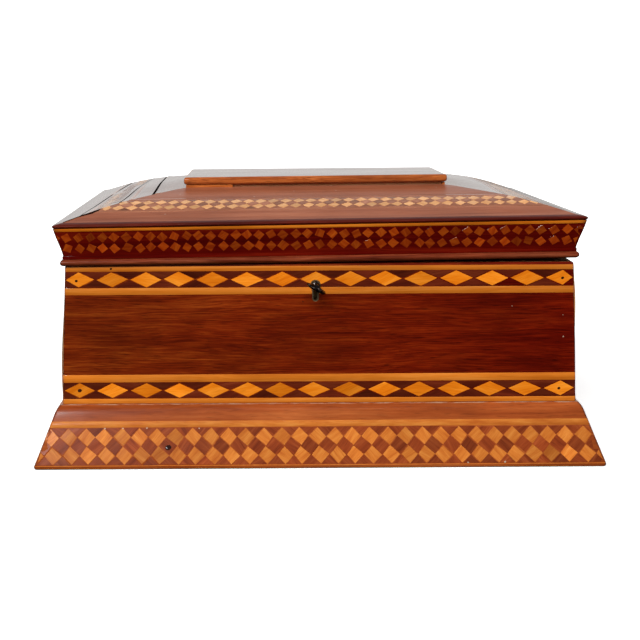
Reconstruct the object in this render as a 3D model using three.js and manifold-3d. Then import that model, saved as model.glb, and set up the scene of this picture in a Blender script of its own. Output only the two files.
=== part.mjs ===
// A veneered wooden box of sarcophagus form: a flared plinth, a slightly tapering carcass, and a hinged
// lid with a canted frieze, four hipped roof boards and a raised tablet. A box lock is let into the front
// wall and its key stands turned in the keyhole. The lid has warped with age: its front right corner
// stands off the rim. Millimetres, +Z up, the front towards -Y, the origin on the floor at the middle.
import * as THREE from "three";
import { mergeVertices } from "three/addons/utils/BufferGeometryUtils.js";
import Module from "manifold-3d";

// Foot and plinth
const footWidth = 340;
const footDepth = 246;
const plinthHeight = 36;
const plinthSpread = 16; // how far the foot stands out from the carcass
const plinthTopEdge = 0.8; // the narrow ledge where the plinth meets the carcass
const shoulderReach = 3.7; // the rounded shoulder at the plinth's top, outwards from that ledge
const shoulderDrop = 5; // and downwards
const footRound = 1.2;

// Carcass
const carcassHeight = 120; // floor to rim
const carcassTaper = 4.1; // how far each wall leans in, from the plinth's top to the rim
const wallThickness = 10; // at the rim
const rimRound = 1.2;
const bottomThickness = 6;
const bottomLift = 3; // the bottom board stays clear of the floor
const bottomGap = 0.3;

// Lid frame
const rimGap = 0.3; // between the rim and the closed lid
const glueGap = 0.15; // between the glued pieces of the warped lid
const beadHeight = 3.9;
const beadReach = 2.6; // how far the bead stands out from the rim
const lipDrop = 1.3; // how far the bead hangs down past the lid's foot, in front of the rim
const lipClearance = 0.3;
const filletHeight = 1.7;
const filletReach = 1.2; // how far the fillet stands out from the rim
const friezeFootReach = 0.8; // how far the foot of the frieze stands out from the rim
const friezeHeight = 17;
const friezeReach = 5.3; // how far the top of the frieze stands out from the rim
const lidWarp = 3.7; // lift of the eaves' front right corner

// Roof and tablet
const eaveReach = 6.1; // how far the eaves stand out from the rim
const eaveNose = 2; // the rounded edge of the roof boards
const roofRun = 73.4; // level distance from the eaves to the tablet's foot
const roofRise = 13;
const roofThickness = 6; // measured upright
const roofLand = 10; // level border round the roof's opening, which carries the plate
const plateThickness = 2.5;
const stripWidth = 1.8; // the edging strips round the plate
const stripGap = 0.2;
const stripKept = 0.18; // share of the front strip that is left, from the left
const tabletThickness = 4.7;
const tabletOverhang = 1.3; // beyond the edging strips
const tabletNose = 1.7;

// Hinges
const hingeSpacing = 200;
const hingeLength = 32;
const leafDepth = 9; // from the wall's outer face inwards
const leafThickness = 1.2;
const leafClearance = 0.2;
const barrelRadius = 2.4;
const barrelClearance = 0.3;
const knuckleShare = 1 / 3; // the lid's knuckle, as a share of the barrel
const knuckleGap = 0.2;
const pinRadius = 0.9;
const pinClearance = 0.1;

// Lock, keyhole and key
const lockOffset = -2.5; // the keyhole sits a little left of the middle
const lockWidth = 40;
const lockHeight = 24;
const lockDepth = 6.5;
const lockPlate = 1; // thickness of the lock case
const lockClearance = 0.3;
const selvedgeWidth = 52;
const selvedgeThickness = 1.5;
const keyholeDrop = 13; // from the rim to the keyhole's centre
const keyholeRadius = 2.4;
const keyholeSlot = 2.4;
const keyholeLength = 9; // from the centre to the slot's foot
const linerThickness = 0.7;
const linerClearance = 0.1;
const stapleSpacing = 28;
const stapleWidth = 4.4;
const stapleDepth = 2.2;
const stapleLength = 7.5;
const stapleWire = 1.1;
const stapleClearance = 0.6;
const keyTurn = 30; // degrees by which the bow's right side lies below the level
const keyShankRadius = 1.45;
const keyShankOut = 8; // from the wall to the bow
const keyCollarRadius = 2.4;
const keyCollarLength = 1.8;
const keyCollarStandoff = 1.2;
const bowRadius = 5.1;
const bowWire = 1;
const bowFlatness = 0.72; // the bow is an oval, this much of its width in length
const bitLength = 6.6;
const bitThickness = 1.5;
const bitClearance = 0.4;

// Places that follow from the sizes. An inset is measured inwards from the foot's outline.
const halfWidth = footWidth / 2;
const halfDepth = footDepth / 2;
const rimInset = plinthSpread + carcassTaper;
const innerInset = rimInset + wallThickness;
const rimHalfDepth = halfDepth - rimInset;
const wallLean = carcassTaper / (carcassHeight - plinthHeight);
const lidFoot = carcassHeight + rimGap;
const beadTop = lidFoot + beadHeight - lipDrop;
const frameFoot = beadTop + glueGap;
const friezeFoot = frameFoot + filletHeight;
const frameTop = friezeFoot + friezeHeight;
const roofFoot = frameTop + glueGap;
const eaveInset = rimInset - eaveReach;
const eaveTop = roofFoot + eaveNose;
const landInset = eaveInset + roofRun;
const landHeight = eaveTop + roofRise;
const plateFoot = landHeight + glueGap;
const plateInset = landInset + stripWidth + stripGap;
const tabletInset = landInset - tabletOverhang;
const tabletFoot = plateFoot + plateThickness + glueGap;
const hingeAxisY = rimHalfDepth + barrelRadius + barrelClearance;
const hingeAxisZ = carcassHeight + rimGap / 2;
const keyholeZ = carcassHeight - keyholeDrop;
const wallFaceAtKeyhole = -(rimHalfDepth + keyholeDrop * wallLean);
const lockBack = -(halfDepth - innerInset);
const lockFront = lockBack - lockDepth;
const lockFoot = carcassHeight - lockHeight;

const fieldWood = new THREE.MeshStandardMaterial({ color: 0x6a2a12, roughness: 0.3, metalness: 0 });
const plinthWood = new THREE.MeshStandardMaterial({ color: 0xa0552e, roughness: 0.35, metalness: 0 });
const friezeWood = new THREE.MeshStandardMaterial({ color: 0x6e2c10, roughness: 0.3, metalness: 0 });
const roofWood = new THREE.MeshStandardMaterial({ color: 0x8a5238, roughness: 0.3, metalness: 0 });
const beadWood = new THREE.MeshStandardMaterial({ color: 0x582415, roughness: 0.35, metalness: 0 });
const tabletWood = new THREE.MeshStandardMaterial({ color: 0x9d4d1e, roughness: 0.3, metalness: 0 });
const bareWood = new THREE.MeshStandardMaterial({ color: 0xb58a5a, roughness: 0.8, metalness: 0 });
const brass = new THREE.MeshStandardMaterial({ color: 0xb08d4a, roughness: 0.35, metalness: 1 });
const steel = new THREE.MeshStandardMaterial({ color: 0x4a4540, roughness: 0.35, metalness: 1 });

const wasm = await Module();
wasm.setup();

// A closed three.js geometry as a solid that can be joined and cut.
function solid(geometry) {
  const bare = geometry.clone();
  for (const name of Object.keys(bare.attributes)) {
    if (name !== "position") bare.deleteAttribute(name);
  }
  const merged = mergeVertices(bare, 1e-4);
  return new wasm.Manifold(
    new wasm.Mesh({
      numProp: 3,
      vertProperties: merged.attributes.position.array,
      triVerts: new Uint32Array(merged.index.array),
    }),
  );
}

// The solid back as a three.js geometry.
function geometryOf(body) {
  const { numVert, numProp, vertProperties, triVerts } = body.getMesh();
  const positions = new Float32Array(numVert * 3);
  for (let i = 0; i < numVert; i++) {
    positions.set(vertProperties.subarray(i * numProp, i * numProp + 3), i * 3);
  }
  const geometry = new THREE.BufferGeometry();
  geometry.setAttribute("position", new THREE.BufferAttribute(positions, 3));
  geometry.setIndex(new THREE.BufferAttribute(new Uint32Array(triVerts), 1));
  return geometry;
}

// The first geometry with others added to it, and others cut out of it.
function shaped(first, { add = [], cut = [] }) {
  let body = solid(first);
  for (const geometry of add) body = body.add(solid(geometry));
  for (const geometry of cut) body = body.subtract(solid(geometry));
  return geometryOf(body);
}

// A block between two corners.
function block(low, high) {
  const size = high.map((v, i) => v - low[i]);
  const middle = high.map((v, i) => (v + low[i]) / 2);
  return new THREE.BoxGeometry(...size).translate(...middle);
}

// A round bar along X, through a centre given as [y, z].
function barAlongX(radius, from, to, centre) {
  return new THREE.CylinderGeometry(radius, radius, to - from, 24)
    .rotateZ(Math.PI / 2)
    .translate((from + to) / 2, ...centre);
}

// A round bar along the Y axis.
function barAlongY(radius, from, to) {
  return new THREE.CylinderGeometry(radius, radius, to - from, 24).translate(0, (from + to) / 2, 0);
}

// Changes every vertex of a geometry by a function of its place.
function reshape(geometry, change) {
  const position = geometry.attributes.position;
  const point = new THREE.Vector3();
  for (let i = 0; i < position.count; i++) {
    point.fromBufferAttribute(position, i);
    change(point);
    position.setXYZ(i, point.x, point.y, point.z);
  }
  return geometry;
}

// Points of a curve from one corner to another that bends towards a control point.
function bend(from, control, to, steps) {
  const ends = [from, control, to].map((p) => new THREE.Vector2(...p));
  return new THREE.QuadraticBezierCurve(...ends).getPoints(steps).map((p) => [p.x, p.y]);
}

// The four sides of a mitred frame: the way that each runs, and the way that it faces.
const sides = {
  front: { along: [1, 0], out: [0, -1] },
  right: { along: [0, 1], out: [1, 0] },
  back: { along: [-1, 0], out: [0, 1] },
  left: { along: [0, -1], out: [-1, 0] },
};

// One side of a mitred frame: a closed outline of [inset, height] points carried along the side, with
// both ends on the mitres. The stations along it let a warped piece bend.
function mitredSide(name, outline, stations = 1) {
  const { along, out } = sides[name];
  const facesY = out[0] === 0;
  const shape = new THREE.Shape(outline.map(([inset, height]) => new THREE.Vector2(inset, height)));
  const geometry = new THREE.ExtrudeGeometry(shape, { depth: 2, steps: stations, bevelEnabled: false });
  return reshape(geometry, (p) => {
    const [inset, height, place] = [p.x, p.y, p.z - 1];
    const reach = (facesY ? halfWidth : halfDepth) - inset;
    const distance = (facesY ? halfDepth : halfWidth) - inset;
    const x = along[0] * place * reach + out[0] * distance;
    const y = along[1] * place * reach + out[1] * distance;
    p.set(x, y, height);
  });
}

const lidStations = 6;

// The lid's twist: nothing at the hinges and at the left, lidWarp at the eaves' front right corner.
function warped(geometry) {
  const reachX = halfWidth - eaveInset;
  const reachY = halfDepth - eaveInset;
  return reshape(geometry, (p) => {
    const across = (p.x + reachX) / (2 * reachX);
    const forward = (rimHalfDepth - p.y) / (rimHalfDepth + reachY);
    p.z += lidWarp * across * forward;
  });
}

function mesh(name, geometry, material) {
  const made = new THREE.Mesh(geometry, material);
  made.name = name;
  return made;
}

// The plinth's four mouldings, glued round the foot of the carcass.
function plinthOutline() {
  const ledge = plinthSpread - plinthTopEdge;
  const shoulder = ledge - shoulderReach;
  const shoulderFoot = plinthHeight - shoulderDrop;
  const control = [shoulder + shoulderReach * 0.4, plinthHeight - shoulderDrop * 0.2];
  return [
    [plinthSpread, 0],
    [plinthSpread, plinthHeight],
    ...bend([ledge, plinthHeight], control, [shoulder, shoulderFoot], 5),
    ...bend([0, footRound * 1.5], [0, 0], [footRound, 0], 3),
  ];
}

// The carcass walls: upright inside, leaning in outside above the plinth, with a rounded rim.
function wallOutline() {
  const corner = [rimInset, carcassHeight];
  const [roundIn, roundOut] = [[rimInset + rimRound, carcassHeight], [rimInset, carcassHeight - rimRound]];
  return [
    [innerInset, 0],
    [innerInset, carcassHeight],
    ...bend(roundIn, corner, roundOut, 3),
    [plinthSpread, plinthHeight],
    [plinthSpread, 0],
  ];
}

// The keyhole's outline, a round hole over a slot, grown by a margin. Its centre is at the origin.
function keyholeOutline(margin) {
  const radius = keyholeRadius + margin;
  const half = keyholeSlot / 2 + margin;
  const meet = Math.asin(half / radius);
  const shape = new THREE.Shape();
  shape.absarc(0, 0, radius, meet - Math.PI / 2, 1.5 * Math.PI - meet, false);
  shape.absarc(0, keyholeSlot / 2 - keyholeLength, half, Math.PI, 2 * Math.PI, false);
  shape.closePath();
  return shape;
}

// That outline carried through the wall, between two places along Y.
function keyholeBar(margin, from, to) {
  const outline = keyholeOutline(margin);
  return new THREE.ExtrudeGeometry(outline, { depth: to - from, bevelEnabled: false, curveSegments: 10 })
    .rotateX(Math.PI / 2)
    .translate(lockOffset, to, keyholeZ);
}

// The front wall, with the keyhole and the recesses that take the lock and its selvedge.
function frontWall() {
  const wide = lockWidth / 2 + lockClearance;
  const wideTop = selvedgeWidth / 2 + lockClearance;
  const front = lockFront - lockClearance;
  const selvedgeSeat = carcassHeight - selvedgeThickness - lockClearance;
  const [pastBack, pastTop] = [lockBack + 1, carcassHeight + 1];
  return shaped(mitredSide("front", wallOutline()), {
    cut: [
      block([lockOffset - wide, front, lockFoot - lockClearance], [lockOffset + wide, pastBack, pastTop]),
      block([lockOffset - wideTop, front, selvedgeSeat], [lockOffset + wideTop, pastBack, pastTop]),
      keyholeBar(linerThickness + linerClearance, -halfDepth, front + 1),
    ],
  });
}

// The keyhole's metal liner, let into the front wall and dressed flush with its leaning face.
function keyholeLiner() {
  const tube = shaped(keyholeBar(linerThickness, -halfDepth, lockFront - lockClearance), {
    cut: [keyholeBar(0, -halfDepth - 1, lockFront)],
  });
  return geometryOf(solid(tube).intersect(solid(mitredSide("front", wallOutline()))));
}

const hingePlaces = [-hingeSpacing / 2, hingeSpacing / 2];

// The back wall, with a recess in the rim for each hinge leaf.
function backWall() {
  const half = hingeLength / 2 + leafClearance;
  const leafIn = rimHalfDepth - leafDepth - leafClearance;
  const seat = carcassHeight - leafThickness - leafClearance;
  const cut = hingePlaces.map((x) => block([x - half, leafIn, seat], [x + half, halfDepth, seat * 2]));
  return shaped(mitredSide("back", wallOutline()), { cut });
}

// The bead under the lid: a flat strip with a half-round outer edge, which hangs down past the lid's
// foot as a lip in front of the rim. The back one has no lip, so that it clears the rim as it turns.
function beadOutline(drop) {
  const radius = (beadTop - lidFoot + drop) / 2;
  const noseInset = rimInset - beadReach + radius;
  const steps = 8;
  const nose = Array.from({ length: steps + 1 }, (_, i) => {
    const angle = (i / steps) * Math.PI;
    return [noseInset - radius * Math.sin(angle), beadTop - radius + radius * Math.cos(angle)];
  });
  const lipBack = rimInset - lipClearance;
  const lip = drop > 0 ? [[lipBack, lidFoot - drop], [lipBack, lidFoot]] : [];
  return [[innerInset, lidFoot], [innerInset, beadTop], ...nose, ...lip];
}

// The frieze with its fillet: a board that leans out in a shallow wave up to the eaves.
function friezeOutline() {
  const foot = rimInset - friezeFootReach;
  const top = rimInset - friezeReach;
  const waviness = 0.4;
  const steps = 6;
  const face = Array.from({ length: steps + 1 }, (_, i) => {
    const share = 1 - i / steps;
    const lean = THREE.MathUtils.lerp(share, THREE.MathUtils.smoothstep(share, 0, 1), waviness);
    return [THREE.MathUtils.lerp(foot, top, lean), friezeFoot + friezeHeight * share];
  });
  return [
    [innerInset, frameFoot],
    [innerInset, frameTop],
    ...face,
    [rimInset - filletReach, friezeFoot],
    [rimInset - filletReach, frameFoot],
  ];
}

// A roof board: a rounded eave, the slope, and the level land round the opening.
function roofOutline() {
  const radius = eaveNose / 2;
  const steps = 6;
  const nose = Array.from({ length: steps + 1 }, (_, i) => {
    const angle = (i / steps) * Math.PI;
    return [eaveInset + radius - radius * Math.sin(angle), roofFoot + radius - radius * Math.cos(angle)];
  });
  const undersideStart = eaveInset + (roofThickness - eaveNose) * (roofRun / roofRise);
  return [
    [undersideStart, roofFoot],
    ...nose,
    [landInset, landHeight],
    [landInset + roofLand, landHeight],
    [landInset + roofLand, landHeight - roofThickness],
    [landInset, landHeight - roofThickness],
  ];
}

// An edging strip round the plate, under the tablet.
function stripOutline() {
  const [outer, inner] = [landInset, landInset + stripWidth];
  const top = plateFoot + plateThickness;
  return [[inner, plateFoot], [inner, top], [outer, top], [outer, plateFoot]];
}

// The front strip has broken away but for a length at its left.
function frontStrip() {
  const reach = halfWidth - landInset;
  const brokenEnd = THREE.MathUtils.lerp(-reach, reach, stripKept);
  const lost = block([brokenEnd, -halfDepth, 0], [halfWidth, halfDepth, tabletFoot * 2]);
  return shaped(mitredSide("front", stripOutline(), lidStations), { cut: [lost] });
}

// The plate that closes the roof's opening and carries the tablet.
function plate() {
  const width = footWidth - 2 * plateInset;
  const depth = footDepth - 2 * plateInset;
  const board = new THREE.BoxGeometry(width, depth, plateThickness, 8, 4, 1);
  return board.translate(0, 0, plateFoot + plateThickness / 2);
}

// The tablet: a slab whose edges are rounded above and below.
function tablet() {
  const halfX = halfWidth - tabletInset;
  const halfY = halfDepth - tabletInset;
  const half = tabletThickness / 2;
  const slab = new THREE.BoxGeometry(2 * halfX, 2 * halfY, tabletThickness, 8, 4, 8);
  return reshape(slab, (p) => {
    const past = Math.max(0, Math.abs(p.z) - (half - tabletNose)) / tabletNose;
    const inset = tabletNose * (1 - Math.sqrt(Math.max(0, 1 - past * past)));
    p.set((p.x * (halfX - inset)) / halfX, (p.y * (halfY - inset)) / halfY, p.z + tabletFoot + half);
  });
}

// Half of a butt hinge at x: a leaf and its knuckles. The lid's leaf has the middle knuckle, and the
// carcass's leaf the two outer ones.
function hingeLeaf(x, forLid) {
  const half = hingeLength / 2;
  const inner = half * knuckleShare;
  const low = forLid ? lidFoot : carcassHeight - leafThickness;
  const high = low + leafThickness;
  const inEdge = rimHalfDepth - leafDepth;
  const outEdge = hingeAxisY - barrelRadius - barrelClearance;
  const outerSpans = [[-half, -inner - knuckleGap], [inner + knuckleGap, half]];
  const spans = forLid ? [[-inner, inner]] : outerSpans;
  const centre = [hingeAxisY, hingeAxisZ];
  const knuckles = spans.flatMap(([from, to]) => [
    block([x + from, outEdge - 1, low], [x + to, hingeAxisY, high]),
    barAlongX(barrelRadius, x + from, x + to, centre),
  ]);
  const pinHole = barAlongX(pinRadius + pinClearance, x - half - 1, x + half + 1, centre);
  return shaped(block([x - half, inEdge, low], [x + half, outEdge, high]), { add: knuckles, cut: [pinHole] });
}

function hingePin(x) {
  return barAlongX(pinRadius, x - hingeLength / 2, x + hingeLength / 2, [hingeAxisY, hingeAxisZ]);
}

// The back bead, notched round each barrel, with a recess underneath for each lid leaf.
function backBead() {
  const half = hingeLength / 2 + leafClearance;
  const leafIn = rimHalfDepth - leafDepth - leafClearance;
  const leafTop = lidFoot + leafThickness + leafClearance;
  const barrelIn = hingeAxisY - barrelRadius - barrelClearance;
  const [under, over] = [lidFoot - 1, beadTop + 1];
  const cut = hingePlaces.flatMap((x) => [
    block([x - half, leafIn, under], [x + half, halfDepth, leafTop]),
    block([x - half, barrelIn, under], [x + half, halfDepth, over]),
  ]);
  return shaped(mitredSide("back", beadOutline(0), lidStations), { cut });
}

const staplePlaces = [lockOffset - stapleSpacing / 2, lockOffset + stapleSpacing / 2];
const lockMiddleY = (lockFront + lockBack) / 2;

// The lock: a thin case behind the keyhole, closed above by the selvedge that the staples pass through.
function lock() {
  const slotX = stapleWidth / 2 + stapleClearance;
  const slotY = stapleDepth / 2 + stapleClearance;
  const selvedgeFoot = carcassHeight - selvedgeThickness;
  const pastTop = carcassHeight + 1;
  const [left, right] = [lockOffset - lockWidth / 2, lockOffset + lockWidth / 2];
  const [topLeft, topRight] = [lockOffset - selvedgeWidth / 2, lockOffset + selvedgeWidth / 2];
  const slots = staplePlaces.map((x) =>
    block([x - slotX, lockMiddleY - slotY, selvedgeFoot - 1], [x + slotX, lockMiddleY + slotY, pastTop]),
  );
  const hollow = block(
    [left + lockPlate, lockFront + lockPlate, lockFoot + lockPlate],
    [right - lockPlate, lockBack - lockPlate, selvedgeFoot],
  );
  return shaped(block([left, lockFront, lockFoot], [right, lockBack, carcassHeight]), {
    add: [block([topLeft, lockFront, selvedgeFoot], [topRight, lockBack, carcassHeight])],
    cut: [hollow, keyholeBar(0, lockFront - 1, lockFront + lockPlate + 1), ...slots],
  });
}

// The link plate under the lid's front edge, with the two staples that the lock's bolt catches.
function linkPlate() {
  const half = selvedgeWidth / 2;
  const stapleHalf = stapleWidth / 2;
  const [near, far] = [lockMiddleY - stapleDepth / 2, lockMiddleY + stapleDepth / 2];
  const stapleFoot = lidFoot - stapleLength;
  const top = lidFoot + leafThickness;
  const staples = staplePlaces.map((x) =>
    block([x - stapleHalf, near, stapleFoot], [x + stapleHalf, far, top]),
  );
  const eyeHalf = stapleHalf - stapleWire;
  const eyes = staplePlaces.map((x) =>
    block([x - eyeHalf, near - 1, stapleFoot + stapleWire], [x + eyeHalf, far + 1, lidFoot - stapleWire]),
  );
  const bar = block([lockOffset - half, lockFront, lidFoot], [lockOffset + half, lockBack, top]);
  return shaped(bar, { add: staples, cut: eyes });
}

// The front bead, with a recess underneath for the link plate.
function frontBead() {
  const half = selvedgeWidth / 2 + leafClearance;
  const recessFront = lockFront - leafClearance;
  const recessTop = lidFoot + leafThickness + leafClearance;
  const [left, right] = [lockOffset - half, lockOffset + half];
  const recess = block([left, recessFront, lidFoot - 1], [right, lockBack + 1, recessTop]);
  return shaped(mitredSide("front", beadOutline(lipDrop), lidStations), { cut: [recess] });
}

// The key, turned in the lock: an oval bow, a shank with two collars, and a bit inside the case.
function key() {
  const shankEnd = lockBack - lockPlate - bitClearance;
  const bitStart = lockFront + lockPlate + bitClearance;
  const bowNear = wallFaceAtKeyhole - keyShankOut;
  const collarAt = wallFaceAtKeyhole - keyCollarStandoff;
  const bow = new THREE.TorusGeometry(bowRadius, bowWire, 12, 36);
  bow.scale(1, bowFlatness, 1).translate(0, bowNear - bowRadius * bowFlatness, 0);
  const bit = block([0, bitStart, -bitThickness / 2], [bitLength, shankEnd, bitThickness / 2]);
  const collar = barAlongY(keyCollarRadius, collarAt - keyCollarLength, collarAt);
  const neck = barAlongY((keyShankRadius + keyCollarRadius) / 2, bowNear, bowNear + keyCollarLength);
  const shank = barAlongY(keyShankRadius, bowNear - bowWire / 2, shankEnd);
  return shaped(shank, { add: [collar, neck, bow, bit] })
    .rotateY(THREE.MathUtils.degToRad(keyTurn))
    .translate(lockOffset, 0, keyholeZ);
}

// The bottom board, let in between the walls.
function bottomBoard() {
  const x = halfWidth - innerInset - bottomGap;
  const y = halfDepth - innerInset - bottomGap;
  return block([-x, -y, bottomLift], [x, y, bottomLift + bottomThickness]);
}

const carcass = new THREE.Group();
carcass.add(mesh("bottom_board", bottomBoard(), bareWood));
for (const side of Object.keys(sides)) {
  const cutWall = { front: frontWall, back: backWall }[side];
  const wall = cutWall ? cutWall() : mitredSide(side, wallOutline());
  carcass.add(
    mesh(`plinth_${side}`, mitredSide(side, plinthOutline()), plinthWood),
    mesh(`wall_${side}`, wall, fieldWood),
  );
}
carcass.add(
  mesh("lock", lock(), brass),
  mesh("keyhole_liner", keyholeLiner(), brass),
  mesh("key", key(), steel),
);

const lid = new THREE.Group();
for (const side of Object.keys(sides)) {
  const cutBead = { front: frontBead, back: backBead }[side];
  const bead = cutBead ? cutBead() : mitredSide(side, beadOutline(lipDrop), lidStations);
  const strip = side === "front" ? frontStrip() : mitredSide(side, stripOutline(), lidStations);
  lid.add(
    mesh(`lid_bead_${side}`, warped(bead), beadWood),
    mesh(`lid_frieze_${side}`, warped(mitredSide(side, friezeOutline(), lidStations)), friezeWood),
    mesh(`roof_${side}`, warped(mitredSide(side, roofOutline(), lidStations)), roofWood),
    mesh(`tablet_strip_${side}`, warped(strip), tabletWood),
  );
}
lid.add(
  mesh("tablet_plate", warped(plate()), bareWood),
  mesh("tablet", warped(tablet()), tabletWood),
  mesh("link_plate", warped(linkPlate()), brass),
);

const hinges = new THREE.Group();
for (const x of hingePlaces) {
  const side = x < 0 ? "left" : "right";
  hinges.add(
    mesh(`hinge_body_leaf_${side}`, hingeLeaf(x, false), brass),
    mesh(`hinge_lid_leaf_${side}`, hingeLeaf(x, true), brass),
    mesh(`hinge_pin_${side}`, hingePin(x), brass),
  );
}

const group = new THREE.Group();
group.add(carcass, lid, hinges);
export default group;
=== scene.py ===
import math
import bmesh
import bpy
import numpy as np
from mathutils import Matrix, Vector


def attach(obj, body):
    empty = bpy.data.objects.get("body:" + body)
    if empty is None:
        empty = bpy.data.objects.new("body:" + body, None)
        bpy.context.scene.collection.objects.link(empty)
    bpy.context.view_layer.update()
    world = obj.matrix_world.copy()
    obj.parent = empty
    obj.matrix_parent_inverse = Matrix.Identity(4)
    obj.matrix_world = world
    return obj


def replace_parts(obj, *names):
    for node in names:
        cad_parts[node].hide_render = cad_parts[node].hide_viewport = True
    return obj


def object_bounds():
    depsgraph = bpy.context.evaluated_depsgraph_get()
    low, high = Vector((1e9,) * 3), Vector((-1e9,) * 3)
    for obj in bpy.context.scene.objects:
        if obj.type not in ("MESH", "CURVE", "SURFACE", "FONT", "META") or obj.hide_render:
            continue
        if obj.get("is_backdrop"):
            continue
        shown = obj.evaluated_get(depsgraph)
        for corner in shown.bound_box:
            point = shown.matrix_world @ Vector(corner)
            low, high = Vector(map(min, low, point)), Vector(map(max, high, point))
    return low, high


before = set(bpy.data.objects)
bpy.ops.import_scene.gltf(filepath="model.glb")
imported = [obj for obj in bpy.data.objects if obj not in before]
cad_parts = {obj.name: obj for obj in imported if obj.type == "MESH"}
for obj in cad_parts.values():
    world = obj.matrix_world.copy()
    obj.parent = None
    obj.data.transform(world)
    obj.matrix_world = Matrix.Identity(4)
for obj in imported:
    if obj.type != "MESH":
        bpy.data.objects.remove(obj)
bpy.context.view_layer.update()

# The plinth: four flared mouldings of softwood, mitred at the corners and glued round the carcass's
# foot. They are veneered in brown mahogany, with two rows of pale squares set on their points between
# pale strings. Lengths are in millimetres until a point is placed.

ALONG = {"front": (1, 0), "right": (0, 1), "back": (-1, 0), "left": (0, -1)}
OUTWARD = {"front": (0, -1), "right": (1, 0), "back": (0, 1), "left": (-1, 0)}
FOOT_HALF = {side: (170.0, 123.0) if side in ("front", "back") else (123.0, 170.0) for side in ALONG}
LID_LIFT = 3.7
LID_HALF_WIDTH = 156.0
LID_BACK, LID_FRONT = 102.9, 109.0
EAVE_INSET, EAVE_HEIGHT = 19.0, 144.6
ROOF_RUN, ROOF_RISE, ROOF_SLOPE = 68.4, 12.8, 0.187
UNDER_INSET, UNDER_HEIGHT = 15, 141
SWELL_MIDDLE, SWELL_BACK = 2.3, 3.0
SWELL_FROM, SWELL_OVER = -60, 70


def lid_lift(x, y):
    """How far a point of the lid is lifted: 3.7 mm times its share of the way from the left eave to the
    right one, times its share of the way from the hinges to the front eave."""
    across = (x + LID_HALF_WIDTH) / (2 * LID_HALF_WIDTH)
    forward = (LID_BACK - y) / (LID_BACK + LID_FRONT)
    return LID_LIFT * across * forward


def placed(side, along, inset, height, lid=False):
    """A point in metres: `along` the side from its middle, `inset` in from the foot's outline, and
    `height` over the floor. A point of the lid is lifted. The roof's upper side, which is all that lies
    over a slanted line inside its boards, has swelled besides: by 2.3 mm times the sine of its rise, and
    by up to 3 mm more towards the back."""
    run, face = np.array(ALONG[side]), np.array(OUTWARD[side])
    level = along[..., None] * run + (FOOT_HALF[side][1] - inset)[..., None] * face
    if lid:
        x, y = level[..., 0], level[..., 1]
        inside_board = UNDER_HEIGHT + ROOF_SLOPE * (inset - UNDER_INSET)
        rise = np.clip((height - EAVE_HEIGHT) / ROOF_RISE, 0, 1) * (height > inside_board)
        back = np.clip((y - SWELL_FROM) / SWELL_OVER, 0, 1)
        back = back**2 * (3 - 2 * back)
        more = SWELL_BACK * back * np.interp(rise, (0, 0.95, 1), (0, 1, 0.6))
        height = height + lid_lift(x, y) + (SWELL_MIDDLE * np.sin(math.pi * rise) + more)
    return np.concatenate([level, height[..., None]], axis=-1) / 1000


def turned_corner(side, along, inset, radius):
    """The same point on a corner worn to a radius: the last stretch before the mitre follows an eighth
    of a turn, with the place along it moved by the sine and the inset by one less the cosine."""
    reach = FOOT_HALF[side][0] - inset
    past = np.clip((np.abs(along) - (reach - radius)) / radius, 0, 1) * math.pi / 4
    turned = np.sign(along) * (reach - radius + radius * np.sin(past))
    return np.where(past > 0, turned, along), inset + radius * (1 - np.cos(past))


def bend(start, control, end, steps):
    """Points of a curve between two corners that bends towards a control point: the squares of the
    shares weigh the ends, and twice their product weighs the control."""
    t = np.linspace(0, 1, steps + 1)[:, None]
    start, control, end = (np.array(p, float) for p in (start, control, end))
    return (1 - t) ** 2 * start + 2 * t * (1 - t) * control + t**2 * end


def run_length(line):
    """How far along a line each of its points lies."""
    return np.concatenate([[0], np.cumsum(np.linalg.norm(np.diff(line, axis=0), axis=1))])


def bar_faces(rows, columns):
    """The faces of a bar from a grid whose columns close on themselves, as vertex numbers: its
    four-sided faces, and its two ends."""
    row, column = np.meshgrid(np.arange(rows - 1), np.arange(columns), indexing="ij")
    after = (column + 1) % columns
    walls = np.stack([row * columns + column, row * columns + after,
                      (row + 1) * columns + after, (row + 1) * columns + column], axis=-1)
    return walls.reshape(-1, 4), np.arange(columns) + np.array([[0], [(rows - 1) * columns]])


def tidied(data):
    """The mesh without edges under 2 micrometres, and with every closed shell facing outwards."""
    work = bmesh.new()
    work.from_mesh(data)
    bmesh.ops.dissolve_degenerate(work, dist=2e-6, edges=work.edges[:])
    bmesh.ops.recalc_face_normals(work, faces=work.faces[:])
    work.to_mesh(data)
    work.free()


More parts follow.
